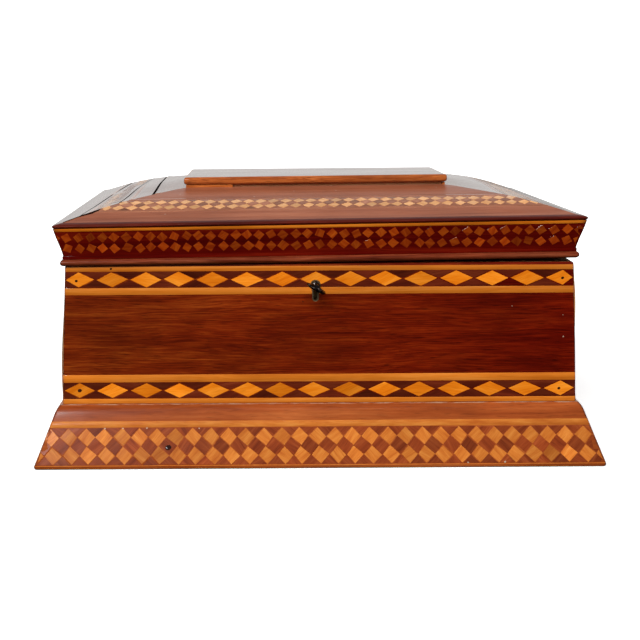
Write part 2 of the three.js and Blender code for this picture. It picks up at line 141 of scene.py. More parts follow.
class Stuff:
    """The parts of one mesh while it is put together: points, faces and what each face and point says."""

    def __init__(self):
        self.points, self.faces, self.stuffs, self.grain, self.tone, self.rim = [], [], [], [], [], []
        self.count = 0

    def add(self, points, blocks, stuffs, grain, tone, rim):
        """Adds points with their faces, in blocks of faces that have the same number of corners."""
        for faces in blocks:
            self.faces += (faces + self.count).tolist()
        self.points.append(points)
        self.stuffs += list(stuffs)
        self.grain.append(grain)
        self.tone.append(np.broadcast_to(tone, len(points)))
        self.rim.append(np.broadcast_to(rim, len(points)))
        self.count += len(points)

    def mesh(self, name, finishes, sharp=30):
        """The mesh as an object at the origin. Its UV map holds the grain's run and its attributes each
        leaf's tone and the distance to the nearest mitre."""
        data = bpy.data.meshes.new(name)
        data.from_pydata(np.concatenate(self.points).tolist(), [], self.faces)
        for finish in finishes:
            data.materials.append(finish)
        data.polygons.foreach_set("material_index", np.array(self.stuffs, np.int32))
        corners = np.zeros(len(data.loops), np.int32)
        data.loops.foreach_get("vertex_index", corners)
        data.uv_layers.new(name="grain")
        data.uv_layers["grain"].data.foreach_set("uv", np.concatenate(self.grain)[corners].ravel())
        for label, values in (("tone", self.tone), ("rim", self.rim)):
            data.attributes.new(label, "FLOAT", "POINT").data.foreach_set(
                "value", np.concatenate(values).astype(np.float32))
        tidied(data)
        data.shade_smooth()
        data.set_sharp_from_angle(angle=math.radians(sharp))
        piece = bpy.data.objects.new(name, data)
        bpy.context.scene.collection.objects.link(piece)
        return piece


CORNER_STEPS = np.linspace(0.25, 1, 4)


def carried(stuff, side, outline, show, radius, lid, stations, stuff_of, slant=0.0):
    """A closed outline of (inset, height) carried along a side from mitre to mitre. The points in `show`
    turn the worn corner. A slant moves a point up the slope by so much from the side's far end to its
    near one. The grain runs along, with the outline's length across it."""
    outline = np.array(outline, float)
    corner = np.ones(len(CORNER_STEPS))
    share = np.concatenate([-corner, np.linspace(-1, 1, stations), corner])[:, None]
    past = np.concatenate([-CORNER_STEPS[::-1], np.zeros(stations), CORNER_STEPS])[:, None]
    moved_up = (1 - share) / 2 * np.broadcast_to(slant, len(outline))
    inset = outline[:, 0] + moved_up
    height = outline[:, 1] + moved_up * ROOF_SLOPE
    along = share * (FOOT_HALF[side][0] - inset - radius) + past * radius
    turned, moved = turned_corner(side, along, inset, radius)
    points = placed(side, np.where(show, turned, along), np.where(show, moved, inset), height, lid)
    rows, columns = along.shape
    across = np.broadcast_to(run_length(outline), along.shape)
    grain = np.stack([along, across], axis=-1).reshape(-1, 2) / 1000
    rim = (FOOT_HALF[side][0] - inset - np.abs(along)).reshape(-1)
    stuffs = stuff_of * (rows - 1) + [stuff_of[0]] * 2
    stuff.add(points.reshape(-1, 3), bar_faces(rows, columns), stuffs, grain, 0.0, rim)


class Face:
    """The outer line of a moulding or board, from its foot up, that inlay is laid on."""

    def __init__(self, line, radius, lid=False):
        self.line, self.radius, self.lid = np.array(line, float), radius, lid
        self.length = run_length(self.line)
        slope = np.gradient(self.line, self.length, axis=0)
        self.slope = slope / np.linalg.norm(slope, axis=1)[:, None]

    def up(self, height):
        """How far up the line a height lies."""
        return float(np.interp(height, self.line[:, 1], self.length))

    def inset(self, up):
        """How far in from the foot's outline the line lies there."""
        return np.interp(up, self.length, self.line[:, 0])

    def at(self, side, along, up, proud):
        """Points laid on the line at a length up it, standing proud by a distance along its normal, and
        held between the mitres."""
        inset, height = self.inset(up), np.interp(up, self.length, self.line[:, 1])
        lean_in = np.interp(up, self.length, self.slope[:, 0])
        rise = np.interp(up, self.length, self.slope[:, 1])
        reach = FOOT_HALF[side][0] - inset
        along = np.clip(along, -reach, reach)
        along, inset = turned_corner(side, along, inset, self.radius)
        return placed(side, along, inset - proud * rise, height + proud * lean_in, self.lid)


LEAF_DEPTH = 0.25
LEAF_PROUD = 0.05
LEAF_EDGE = 0.09


def laid_leaves(stuff, face, side, shapes, kind, tone, turn, rng, cuts=3, lift=0.0):
    """Leaves of veneer from (along, up) polygons: each edge is cut in equal parts so that the leaf can
    follow a curve or be trimmed at a mitre, and the top stands in from the edge by a small bevel. The
    grain's run is turned for each leaf and starts at a place of its own."""
    if not len(shapes):
        return
    share = (np.arange(cuts) / cuts)[None, None, :, None]
    after = np.roll(shapes, -1, axis=1)
    line = (shapes[:, :, None] * (1 - share) + after[:, :, None] * share).reshape(len(shapes), -1, 2)
    middle = shapes.mean(axis=1, keepdims=True)
    size = np.maximum(np.linalg.norm(shapes - middle, axis=2).min(axis=1), 1.0)[:, None, None]
    inner = middle + (line - middle) * (1 - LEAF_EDGE / size)
    rings = [(line, -LEAF_DEPTH), (line, LEAF_PROUD - LEAF_EDGE * 0.6 + lift), (inner, LEAF_PROUD + lift)]
    points = np.stack([face.at(side, ring[..., 0], ring[..., 1], proud) for ring, proud in rings], axis=1)
    count, around = line.shape[:2]
    first = (np.arange(count) * 3 * around)[:, None]
    walls, (bottom, top) = bar_faces(3, around)
    walls = (walls[None] + first[:, None]).reshape(-1, 4)
    caps = np.concatenate([top + first, bottom[::-1] + first])
    a = turn[:, None]
    local = line - middle
    ran = np.stack([local[..., 0] * np.cos(a) + local[..., 1] * np.sin(a),
                    local[..., 1] * np.cos(a) - local[..., 0] * np.sin(a)], axis=-1)
    ran = ran + rng.uniform(-400, 400, (count, 1, 2))
    grain = np.repeat(ran[:, None], 3, axis=1).reshape(-1, 2) / 1000
    rim = FOOT_HALF[side][0] - face.inset(line[..., 1]) - np.abs(line[..., 0])
    rim = np.repeat(rim[:, None], 3, axis=1).reshape(-1)
    stuffs = [kind] * (len(walls) + len(caps))
    stuff.add(points.reshape(-1, 3), (walls, caps), stuffs, grain, np.repeat(tone, 3 * around), rim)


def laid_marks(stuff, face, side, shapes, kind, lift, rng):
    """Pins, plugs, chips and specks: leaves of one tone, with their edges uncut, lifted by a little."""
    plain = np.zeros(len(shapes))
    laid_leaves(stuff, face, side, shapes, kind, plain, plain, rng, cuts=1, lift=lift)


def laid_string(stuff, face, side, low, high, kind, tone, rng, spans=None):
    """A string of veneer between two lengths up the face, from mitre to mitre or over spans. Its section
    is a flat bar with bevelled edges."""
    edge, drop, stations = 0.12, 0.06, 40
    section = np.array([(low, -LEAF_DEPTH), (low, LEAF_PROUD - drop), (low + edge, LEAF_PROUD),
                        (high - edge, LEAF_PROUD), (high, LEAF_PROUD - drop), (high, -LEAF_DEPTH)])
    reach = FOOT_HALF[side][0] - face.inset(section[:, 0])
    for span in spans or [None]:
        if span is None:
            main = np.linspace(-1, 1, stations)[:, None] * (reach - face.radius)
            ends = reach - face.radius * (1 - CORNER_STEPS)[:, None]
            along = np.concatenate([-ends[::-1], main, ends])
        else:
            along = np.repeat(np.linspace(*span, stations)[:, None], len(section), axis=1)
        up = np.broadcast_to(section[:, 0], along.shape)
        proud = np.broadcast_to(section[:, 1], along.shape)
        points = face.at(side, along, up, proud).reshape(-1, 3)
        walls, ends = bar_faces(*along.shape)
        grain = np.stack([along, up], axis=-1).reshape(-1, 2) / 1000 + rng.uniform(-0.4, 0.4, 2)
        rim = (reach - np.abs(along)).reshape(-1)
        stuff.add(points, (walls, ends), [kind] * (len(walls) + 2), grain, tone, rim)


def shrunk(shapes, share, rng, jitter, twist=0.0):
    """Polygons drawn in towards their middles by a share, shifted a little and turned a little, each by
    its own amount."""
    middle = shapes.mean(axis=1, keepdims=True)
    a = rng.normal(0, twist, (len(shapes), 1)) if twist else np.zeros((len(shapes), 1))
    local = (shapes - middle) * share
    turned = np.stack([local[..., 0] * np.cos(a) - local[..., 1] * np.sin(a),
                       local[..., 0] * np.sin(a) + local[..., 1] * np.cos(a)], axis=-1)
    shift = rng.normal(0, jitter, (len(shapes), 1, 2))
    return middle + turned + shift + rng.normal(0, jitter * 0.6, shapes.shape)


def spots_at(along, up):
    """Points in a row at one length up the face."""
    return np.stack([along, np.full(len(along), up)], axis=-1)


def squares_on_points(upper, lower, foot, waist, head):
    """Two rows of squares on their points, as pale and dark polygons of (along, up). Each pale one
    reaches halfway to its neighbours; the dark ones fill between the rows and along both edges."""
    high, low = (waist + head) / 2, (foot + waist) / 2
    touch = (upper + lower) / 2
    up_gap, low_gap = (upper[:-1] + upper[1:]) / 2, (lower[:-1] + lower[1:]) / 2
    pale_up = np.stack([spots_at(up_gap[:-1], high), spots_at(touch[1:-1], waist),
                        spots_at(up_gap[1:], high), spots_at(upper[1:-1], head)], axis=1)
    pale_low = np.stack([spots_at(low_gap[:-1], low), spots_at(lower[1:-1], foot),
                         spots_at(low_gap[1:], low), spots_at(touch[1:-1], waist)], axis=1)
    dark_mid = np.stack([spots_at(touch[:-1], waist), spots_at(low_gap, low),
                         spots_at(touch[1:], waist), spots_at(up_gap, high)], axis=1)
    dark_top = np.stack([spots_at(up_gap, high), spots_at(upper[1:], head),
                         spots_at(upper[:-1], head)], axis=1)
    dark_low = np.stack([spots_at(lower[:-1], foot), spots_at(lower[1:], foot),
                         spots_at(low_gap, low)], axis=1)
    return pale_up, pale_low, dark_mid, dark_top, dark_low


def discs(spots, corners=14):
    """Round leaves, a little uneven, from (along, up, radius) spots."""
    a = np.linspace(0, 2 * math.pi, corners, endpoint=False)
    uneven = 1 + 0.1 * np.sin(2 * a + 1) + 0.07 * np.cos(5 * a)
    spots = np.array(spots, float)
    round_ = np.stack([np.cos(a), np.sin(a)], axis=-1) * uneven[:, None]
    return spots[:, None, :2] + spots[:, None, 2:] * round_[None]


def row_of(side, start, pitch, growth, rng, jitter):
    """Places along a side for a row of leaves that runs past both mitres. The front's row starts at the
    left, and its step grows a little as it goes; the others are centred."""
    reach = FOOT_HALF["front"][0]
    i = np.arange(-3, int(2 * reach / pitch) + 3)
    places = start + pitch * i + growth * i**2
    if side != "front":
        places = places - places[np.argmin(np.abs(places))] + pitch / 2 * (side != "back")
    return places + rng.normal(0, jitter, len(places))


def inside(face, side, shapes):
    """The polygons that lie at least partly between the mitres."""
    reach = FOOT_HALF[side][0] - face.inset(shapes[..., 1])
    return shapes[np.any(np.abs(shapes[..., 0]) < reach - 0.4, axis=1)]


def shade(red, green, blue):
    """A colour from its display values of 0 to 255, as the linear numbers a shader takes."""
    value = np.array([red, green, blue]) / 255
    linear = np.where(value <= 0.04045, value / 12.92, ((value + 0.055) / 1.055) ** 2.4)
    return (*linear.tolist(), 1.0)


def darker(colour, share):
    """A colour with its light cut to a share."""
    return (*(value * share for value in colour[:3]), 1.0)


def step(tree, kind, inputs=None, **settings):
    """One shader node with its settings and inputs. An input is a number, a colour or another socket."""
    made = tree.nodes.new("ShaderNode" + kind)
    for key, value in settings.items():
        setattr(made, key, value)
    for key, value in (inputs or {}).items():
        if isinstance(value, bpy.types.NodeSocket):
            tree.links.new(value, made.inputs[key])
        else:
            made.inputs[key].default_value = value
    return made


def mixed(tree, share, first, second, mode="MIX"):
    """The first colour with a share of the second mixed or multiplied into it."""
    return step(tree, "Mix", {0: share, 6: first, 7: second}, data_type="RGBA", blend_type=mode).outputs[2]


def reached(tree, value, low, high, to_low=0.0, to_high=1.0):
    """The value's share of the way from low to high, held there, and carried over to another span."""
    return step(tree, "MapRange", {0: value, 1: low, 2: high, 3: to_low, 4: to_high}).outputs[0]


def reckoned(tree, how, first, second=0.0):
    """The sum, product or other result of two numbers."""
    return step(tree, "Math", {0: first, 1: second}, operation=how).outputs[0]


def cloud(tree, place, scale, detail=3.0, roughness=0.5):
    """Noise over a place in millimetres, with its own scale along, across and through."""
    stretched = step(tree, "Mapping", {"Vector": place, "Scale": scale}).outputs[0]
    noise = {"Vector": stretched, "Scale": 1.0, "Detail": detail, "Roughness": roughness}
    return step(tree, "TexNoise", noise).outputs[0]


def new_finish(name):
    """A material with its node tree and its shader."""
    finish = bpy.data.materials.new(name)
    finish.use_nodes = True
    return finish, finish.node_tree, finish.node_tree.nodes["Principled BSDF"]


TO_MILLIMETRES = (1000, 1000, 1000)


def wood(name, shades, figure=(0.007, 0.10), pores=0.5, patina=0.3, tone_gain=0.25, worn=None,
         worn_width=1.5, roughness=0.5, coat=0.85, coat_roughness=0.08, coat_ior=1.5, relief=0.25,
         solid=False, specks=0.0, extra=None, fine_share=0.32):
    """Varnished wood. The colour runs through three shades by a broad figure and a fine streak that both
    stretch along the grain; pores darken it in short dashes, a patina clouds it, the leaf's tone makes
    it lighter or darker, and near a mitre the edge is worn. Solid wood takes its grain along X."""
    finish, tree, shader = new_finish(name)
    dark, middle, pale = (shade(*values) for values in shades)
    if solid:
        place = step(tree, "TexCoord").outputs["Object"]
    else:
        place = step(tree, "UVMap", uv_map="grain").outputs[0]
    place = step(tree, "Mapping", {"Vector": place, "Scale": TO_MILLIMETRES}).outputs[0]
    wander = cloud(tree, place, (0.009, 0.03, 0.03), 2)
    sway = step(tree, "CombineXYZ", {1: reckoned(tree, "MULTIPLY", wander, 9.0),
                                     2: reckoned(tree, "MULTIPLY", wander, 5.0)}).outputs[0]
    run = step(tree, "VectorMath", {0: place, 1: sway}, operation="ADD").outputs[0]
    along, across = figure
    broad = cloud(tree, run, (along, across, across), 4, 0.55)
    fine = cloud(tree, run, (along * 4, across * 8, across * 8), 3, 0.6)
    dash = cloud(tree, run, (0.11, 3.2, 3.2), 2)
    both = reckoned(tree, "ADD", reckoned(tree, "MULTIPLY", broad, 1 - fine_share),
                    reckoned(tree, "MULTIPLY", fine, fine_share))
    ramp = step(tree, "ValToRGB", {0: both})
    low, high = ramp.color_ramp.elements
    low.position, low.color = 0.33, dark
    high.position, high.color = 0.67, pale
    ramp.color_ramp.elements.new(0.5).color = middle
    colour = ramp.outputs[0]
    if pores:
        colour = mixed(tree, reached(tree, dash, 0.56, 0.7, 0.0, pores), colour, darker(dark, 0.35))
    stain = cloud(tree, place, (0.013, 0.021, 0.02), 4, 0.6)
    colour = mixed(tree, reached(tree, stain, 0.42, 0.72, 0.0, patina), colour, darker(dark, 0.42))
    tone = step(tree, "Attribute", attribute_name="tone").outputs["Fac"]
    level = reckoned(tree, "ADD", reckoned(tree, "MULTIPLY", tone, tone_gain), 1.0)
    colour = step(tree, "HueSaturation", {"Color": colour, "Value": level}).outputs[0]
    if worn:
        rim = step(tree, "Attribute", attribute_name="rim").outputs["Fac"]
        rough_edge = reckoned(tree, "MULTIPLY", cloud(tree, place, (0.25, 0.25, 0.25), 4), 2.0)
        share = reached(tree, reckoned(tree, "ADD", rim, rough_edge), 0.9 + worn_width, 0.9, 0.0, 0.85)
        colour = mixed(tree, share, colour, shade(*worn))
    if specks:
        dust = step(tree, "TexVoronoi", {"Vector": place, "Scale": 0.11}).outputs["Distance"]
        colour = mixed(tree, reached(tree, dust, specks * 1.6, specks), colour, shade(226, 214, 204))
    if extra:
        colour = extra(tree, place, colour)
    tree.links.new(colour, shader.inputs["Base Color"])
    rough = reached(tree, fine, 0.3, 0.7, roughness + 0.08, roughness - 0.06)
    tree.links.new(rough, shader.inputs["Roughness"])
    swell = cloud(tree, place, (0.02, 0.035, 0.03), 2)
    grain_height = reckoned(tree, "ADD", reckoned(tree, "MULTIPLY", dash, -0.12),
                            reckoned(tree, "MULTIPLY", fine, 0.1))
    skin = {"Height": grain_height, "Strength": relief, "Distance": 0.0004}
    wave = {"Height": swell, "Strength": 0.35, "Distance": 0.0015}
    wood_skin = step(tree, "Bump", skin).outputs[0]
    tree.links.new(step(tree, "Bump", {**wave, "Normal": wood_skin}).outputs[0], shader.inputs["Normal"])
    coat_wave = step(tree, "Bump", wave).outputs[0]
    coat_skin = step(tree, "Bump", {**skin, "Strength": relief * 0.4, "Normal": coat_wave}).outputs[0]
    tree.links.new(coat_skin, shader.inputs["Coat Normal"])
    shader.inputs["Specular IOR Level"].default_value = 0.06
    shader.inputs["Coat Weight"].default_value = coat
    shader.inputs["Coat Roughness"].default_value = coat_roughness
    shader.inputs["Coat IOR"].default_value = coat_ior
    return finish


def dusty_ledge(tree, place, colour):
    """Dust in the corner where the plinth meets the walls: pale where the outline's length is near the
    ledge's, broken up by noise."""
    ledge_at = 36.6
    across = step(tree, "SeparateXYZ", {0: place}).outputs[1]
    near = reached(tree, reckoned(tree, "ABSOLUTE", reckoned(tree, "SUBTRACT", across, ledge_at)), 1.1, 0.4)
    broken = reached(tree, cloud(tree, place, (0.12, 0.9, 0.5), 5, 0.7), 0.42, 0.6)
    return mixed(tree, reckoned(tree, "MULTIPLY", near, broken), colour, shade(170, 140, 116))


bare_wood = wood("bare_wood", ((150, 104, 66), (178, 130, 88), (196, 150, 106)), pores=0.25,
                 patina=0.25, roughness=0.7, coat=0.0, relief=0.5)
plinth_brown = wood("plinth_brown", ((122, 48, 14), (154, 72, 28), (176, 94, 44)), patina=0.45,
                    worn=(70, 30, 16), coat=0.6, coat_roughness=0.25, extra=dusty_ledge)
pale_square = wood("pale_square", ((172, 86, 27), (195, 111, 41), (211, 133, 58)), figure=(0.05, 0.35),
                   pores=0.2, tone_gain=0.16, worn=(150, 92, 56), worn_width=0.5, coat=0.6,
                   coat_roughness=0.25)
dark_square = wood("dark_square", ((101, 36, 11), (128, 53, 20), (149, 71, 32)), figure=(0.03, 0.3),
                   pores=0.4, patina=0.25, tone_gain=0.2, coat=0.6, coat_roughness=0.25)
pin_dark = wood("pin_dark", ((26, 10, 6), (44, 18, 10), (70, 30, 16)), pores=0.0, patina=0.4)
filler = wood("filler", ((150, 126, 104), (182, 158, 136), (206, 186, 166)), pores=0.0, patina=0.2,
              coat=0.0)

LEDGE_HEIGHT = 36
PLINTH_CORNER = 1.4
plinth_foot = bend((0, 1.8), (0, 0), (1.2, 0), 4)
plinth_head = bend((15.2, LEDGE_HEIGHT), (12.98, 35), (11.5, 31), 8)
plinth_face = Face(np.concatenate([plinth_foot[::-1], plinth_head[::-1]]), PLINTH_CORNER)
plinth_outline = [(16, 0), (16, LEDGE_HEIGHT), *plinth_head.tolist(), *plinth_foot.tolist()]
count = len(plinth_outline)
rng = np.random.default_rng(11)
for side in ALONG:
    board = Stuff()
    carried(board, side, plinth_outline, [i > 1 for i in range(count)], PLINTH_CORNER, False, 14,
            [0, 1] + [1] * (count - 3) + [0])
    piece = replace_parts(board.mesh("plinth_board_" + side, [bare_wood, plinth_brown]), "plinth_" + side)
    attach(piece, "box")
    inlay = Stuff()
    foot, head = plinth_face.up(2.7), plinth_face.up(23.3)
    upper = row_of(side, -160.3, 10.57, 0.0, rng, 0.25)
    lower = upper + 1.8 + rng.normal(0, 0.3, len(upper))
    for i, shapes in enumerate(squares_on_points(upper, lower, foot, (foot + head) / 2, head)):
        shapes = inside(plinth_face, side, shapes)
        pale = i < 2
        shapes = shrunk(shapes, 0.955 if pale else 0.96, rng, 0.13, 0.03 if pale else 0.0)
        turn = rng.choice([0.8, -0.8, 0.75], len(shapes)) + rng.normal(0, 0.12, len(shapes))
        tone = rng.normal(0, 0.55 if pale else 0.7, len(shapes))
        laid_leaves(inlay, plinth_face, side, shapes, 0 if pale else 1, tone, turn, rng)
    for low, high, tone in ((23.5, 27.0, -0.4), (0.75, 2.5, 1.0)):
        laid_string(inlay, plinth_face, side, plinth_face.up(low), plinth_face.up(high), 0, tone, rng)
    # A dark plug fills a hole in the front's band, and specks of filler its chipped edges.
    if side == "front":
        laid_marks(inlay, plinth_face, side, discs([(-90.3, plinth_face.up(12.3), 1.7)]), 2, 0.04, rng)
        chips = discs([(along, plinth_face.up(height), radius) for along, height, radius in (
            (-128.1, 22.9, 0.5), (-117.4, 23.0, 0.45), (-103.1, 23.1, 0.5), (-72.0, 22.8, 0.4),
            (87.6, 3.1, 0.5), (109.6, 3.3, 0.6))], 9)
        laid_marks(inlay, plinth_face, side, chips, 3, 0.03, rng)
    piece = inlay.mesh("plinth_inlay_" + side, [pale_square, dark_square, pin_dark, filler])
    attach(piece, "box")

# The carcass: four mitred walls that lean in a little, veneered outside in dark mahogany and bare
# inside. A band of pale lozenges between pale strings runs round under the rim and over the plinth.
# The walls have bulged a little with age and are no longer quite flat.


def painted_light_left(tree, place, colour):
    """Painted light and shade across the veneer: lighter and browner towards the left, where more light
    falls, and darker and redder towards the right.
    """
    along = step(tree, "SeparateXYZ", {0: place}).outputs[0]
    wander = reckoned(tree, "MULTIPLY", cloud(tree, place, (0.01, 0.04, 0.01), 3), 160.0)
    drift = reached(tree, reckoned(tree, "ADD", along, wander), -80.0, 240.0)
    red = mixed(tree, 1.0, colour, (0.76, 0.22, 0.40, 1), "MULTIPLY")
    brown = mixed(tree, 1.0, colour, (1.10, 1.45, 1.9, 1), "MULTIPLY")
    return mixed(tree, drift, brown, red)


# Each wall's field is painted lighter towards its left end and darker towards its right: painted light and
# shade.
field_brown = wood("field_brown", ((72, 12, 1), (110, 30, 3), (146, 58, 10)), figure=(0.012, 0.2),
                   pores=0.8, patina=0.55, worn=(40, 14, 8), worn_width=1.0, coat=0.7,
                   extra=painted_light_left, fine_share=0.6)
pale_lozenge = wood("pale_lozenge", ((204, 100, 8), (222, 122, 20), (234, 142, 40)),
                    figure=(0.03, 0.2), pores=0.25, tone_gain=0.16, worn=(170, 90, 40), worn_width=0.4)
dark_lozenge = wood("dark_lozenge", ((66, 18, 8), (86, 28, 12), (104, 42, 20)), figure=(0.02, 0.2),
                    pores=0.4, patina=0.2, tone_gain=0.35)
body_string = wood("body_string", ((182, 93, 19), (206, 116, 33), (218, 134, 53)),
                   figure=(0.012, 0.4), pores=0.2, patina=0.35, tone_gain=0.2, worn=(150, 92, 56))

WALL_FOOT_INSET = 16
WALL_LEAN = 4.1
WALL_INNER = 30.1
RIM_HEIGHT, RIM_ROUND_FROM = 120, 118.8
WORN_CORNER = 0.9
WALL_HUMPS = {"left": [(0.9, 66, 24)], "right": [(0.6, 97, 15), (-0.35, 56, 15)],
              "front": [(0.25, 70, 25)], "back": [(0.3, 80, 25)]}
KEYHOLE = (-2.5, 107.0)
KEYHOLE_MARGIN = 0.8
HINGES = (-100, 100)
HINGE_SEAT_HALF = 16.2
HINGE_SEAT_FRONT = 93.7
BLOCK_FACES = [[0, 1, 3, 2], [4, 6, 7, 5], [0, 4, 5, 1], [2, 3, 7, 6], [0, 2, 6, 4], [1, 5, 7, 3]]


def joined(piece, other, how):
    """Cuts another solid from the piece or joins it to the piece, worked out at once."""
    change = piece.modifiers.new("cut", "BOOLEAN")
    change.object, change.operation, change.solver = other, how, "EXACT"
    evaluated = piece.evaluated_get(bpy.context.evaluated_depsgraph_get())
    made = bpy.data.meshes.new_from_object(evaluated)
    piece.modifiers.clear()
    old, piece.data = piece.data, made
    made.name = old.name
    bpy.data.objects.remove(other)


def plain_object(name, points, faces):
    """An object at the origin from points in metres and lists of vertex numbers."""
    data = bpy.data.meshes.new(name)
    data.from_pydata(np.array(points).tolist(), [], faces)
    tidied(data)
    made = bpy.data.objects.new(name, data)
    bpy.context.scene.collection.objects.link(made)
    return made


def listed(blocks):
    """Blocks of faces as one list."""
    return [face for faces in blocks for face in faces.tolist()]


def block_corners(low, high):
    """The eight corners of a block between two of them."""
    corner = np.array(np.meshgrid([0, 1], [0, 1], [0, 1], indexing="ij")).reshape(3, -1).T
    return np.array(low) * (1 - corner) + np.array(high) * corner


def cut_block(piece, low, high):
    """Cuts a block between two corners in millimetres from the piece."""
    joined(piece, plain_object("block", block_corners(low, high) / 1000, BLOCK_FACES), "DIFFERENCE")


def cut_keyhole(piece, near, far):
    """Cuts the keyhole's outline, a round hole over a slot, carried between two places along Y."""
    radius, half, slot_drop = 2.4 + KEYHOLE_MARGIN, 1.2 + KEYHOLE_MARGIN, 7.8
    meet = math.asin(half / radius)
    round_part = np.linspace(meet - math.pi / 2, 1.5 * math.pi - meet, 28)
    foot = np.linspace(math.pi, 2 * math.pi, 12)
    outline = np.concatenate([
        np.stack([radius * np.cos(round_part), radius * np.sin(round_part)], axis=-1),
        np.stack([half * np.cos(foot), half * np.sin(foot) - slot_drop], axis=-1)])
    x, z = (outline + KEYHOLE).T
    points = np.concatenate([np.stack([x, np.full(len(x), y), z], axis=-1) for y in (near, far)]) / 1000
    joined(piece, plain_object("keyhole", points, listed(bar_faces(2, len(x)))), "DIFFERENCE")


def wall_face(side):
    """A wall's outer line with the bulge that it has taken: one or two low humps, nil at both ends."""
    height = np.linspace(LEDGE_HEIGHT, RIM_ROUND_FROM, 22)
    inset = WALL_FOOT_INSET + WALL_LEAN * (height - LEDGE_HEIGHT) / (RIM_HEIGHT - LEDGE_HEIGHT)
    ends = np.clip(np.minimum(height - LEDGE_HEIGHT, RIM_ROUND_FROM - height) / 12, 0, 1)
    for size, middle, width in WALL_HUMPS[side]:
        inset = inset - size * np.exp(-(((height - middle) / width) ** 2)) * ends
    return np.stack([inset, height], axis=-1)


# Each band of lozenges as its foot and head up the wall, and the front's first middle, step and growth.
# Each string as its foot and head up the wall, and its tone.
LOZENGE_BANDS = ((3.3, 13.0, -143.8, 19.7, 0.064), (70.1, 79.6, -142.2, 19.6, 0.058))
LOZENGE_STEP = 20.1
BODY_STRINGS = ((0.25, 3.15, 0.0), (13.15, 17.75, 0.0), (65.85, 69.95, -0.9), (79.75, 82.6, -1.0))
for side in ALONG:
    line = wall_face(side)
    face = Face(line, WORN_CORNER)
    rim = bend((21.3, RIM_HEIGHT), (20.1, RIM_HEIGHT), (20.1, RIM_ROUND_FROM), 4)
    outline = [(WALL_INNER, 0), (WALL_INNER, RIM_HEIGHT), *rim.tolist(), *line[::-1][1:].tolist(),
               (WALL_FOOT_INSET, 0)]
    last = len(outline) - 1
    board = Stuff()
    carried(board, side, outline, [1 < i < last for i in range(last + 1)], WORN_CORNER, False, 16,
            [0, 0] + [1] * (last - 2) + [0])
    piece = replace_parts(board.mesh("carcass_" + side, [bare_wood, field_brown]), "wall_" + side)
    inlay = Stuff()
    reach = FOOT_HALF[side][0] - 18
    for low, high, start, pitch, growth in LOZENGE_BANDS:
        if side == "front":
            i = np.arange(-1, 16)
            centres = start + pitch * i + growth * i**2
        else:
            many = int(round(2 * reach / LOZENGE_STEP))
            centres = (np.arange(-1, many + 1) - (many - 1) / 2) * (2 * reach / many)
        centres = centres + rng.normal(0, 0.35, len(centres))
        middle = (low + high) / 2
        tip = FOOT_HALF[side][0] - float(face.inset(middle)) - 0.5
        between = np.clip((centres[:-1] + centres[1:]) / 2, -tip, tip)
        whole = np.abs(centres[1:-1]) < tip - 3
        centres = np.clip(centres, -tip, tip)
        pale = np.stack([spots_at(between[:-1], middle), spots_at(centres[1:-1], low),
                         spots_at(between[1:], middle), spots_at(centres[1:-1], high)], axis=1)
        above = np.stack([spots_at(between, middle), spots_at(centres[1:], high),
                          spots_at(centres[:-1], high)], axis=1)
        below = np.stack([spots_at(centres[:-1], low), spots_at(centres[1:], low),
                          spots_at(between, middle)], axis=1)
        pale = shrunk(pale[whole], 0.93, rng, 0.12, 0.012)
        tone = rng.normal(0, 0.6, len(pale))
        laid_leaves(inlay, face, side, pale, 0, tone, rng.normal(0.2, 0.25, len(pale)), rng)
        for dark in (above, below):
            wide = np.abs(dark[:, 1, 0] - dark[:, 2, 0]) + np.abs(dark[:, 0, 0] - dark[:, 1, 0]) > 6
            dark = shrunk(dark[wide], 0.95, rng, 0.08)
            tone = rng.normal(0, 0.6, len(dark))
            laid_leaves(inlay, face, side, dark, 1, tone, rng.normal(0, 0.2, len(dark)), rng)
    for low, high, tone in BODY_STRINGS:
        laid_string(inlay, face, side, low, high, 2, tone, rng)
    # Pins hold the end lozenges, and the front has a few small marks besides.
    pins = discs([(x * (reach - 8.5), up, radius) for x, up, radius in (
        (-1, 8.3, 1.2), (-1, 74.3, 0.8), (1, 8.0, 0.9), (1, 74.6, 0.9))])
    laid_marks(inlay, face, side, pins, 3, 0.04, rng)
    if side == "front":
        marks = discs([(-9.9, 61.3, 0.45), (-122.9, 81.4, 0.7), (114.0, 58.0, 0.25), (144.4, 52.5, 0.18),
                       (145.0, 39.5, 0.38), (-30.0, 81.9, 0.3)], 8)
        laid_marks(inlay, face, side, marks[:2], 3, 0.04, rng)
        laid_marks(inlay, face, side, marks[2:], 4, 0.0, rng)
    bands = inlay.mesh("carcass_inlay_" + side, [pale_lozenge, dark_lozenge, body_string, pin_dark, filler])
    # The front is cut for the lock's case, its selvedge and the keyhole, and the back for the hinges.
    if side == "front":
        cut_block(piece, (-22.8, -99.7, 95.7), (17.8, -91.9, 121))
        cut_block(piece, (-28.8, -99.7, 118.2), (23.8, -91.9, 121))
        for cut in (piece, bands):
            cut_keyhole(cut, -123, -98.7)
    if side == "back":
        for x in HINGES:
            left, right = x - HINGE_SEAT_HALF, x + HINGE_SEAT_HALF
            for cut in (piece, bands):
                cut_block(cut, (left, HINGE_SEAT_FRONT, 118.6), (right, 123, 240))
    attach(piece, "box")
    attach(bands, "box")

# The bottom board, of bare softwood, let in between the walls. It keeps its plain shape.


def dressed(name, finish):
    """Gives a plain solid one finish all over."""
    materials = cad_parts[name].data.materials
    materials.clear()
    materials.append(finish)


board_wood = wood("board_wood", ((148, 104, 66), (176, 130, 88), (194, 150, 106)), pores=0.25,
                  patina=0.25, roughness=0.7, coat=0.0, relief=0.5, solid=True)
dressed("bottom_board", board_wood)

# The bead round the lid's foot: a dark stained moulding with a half-round edge that hangs past the
# rim as a thin lip, except at the back, where the hinges are let into it.

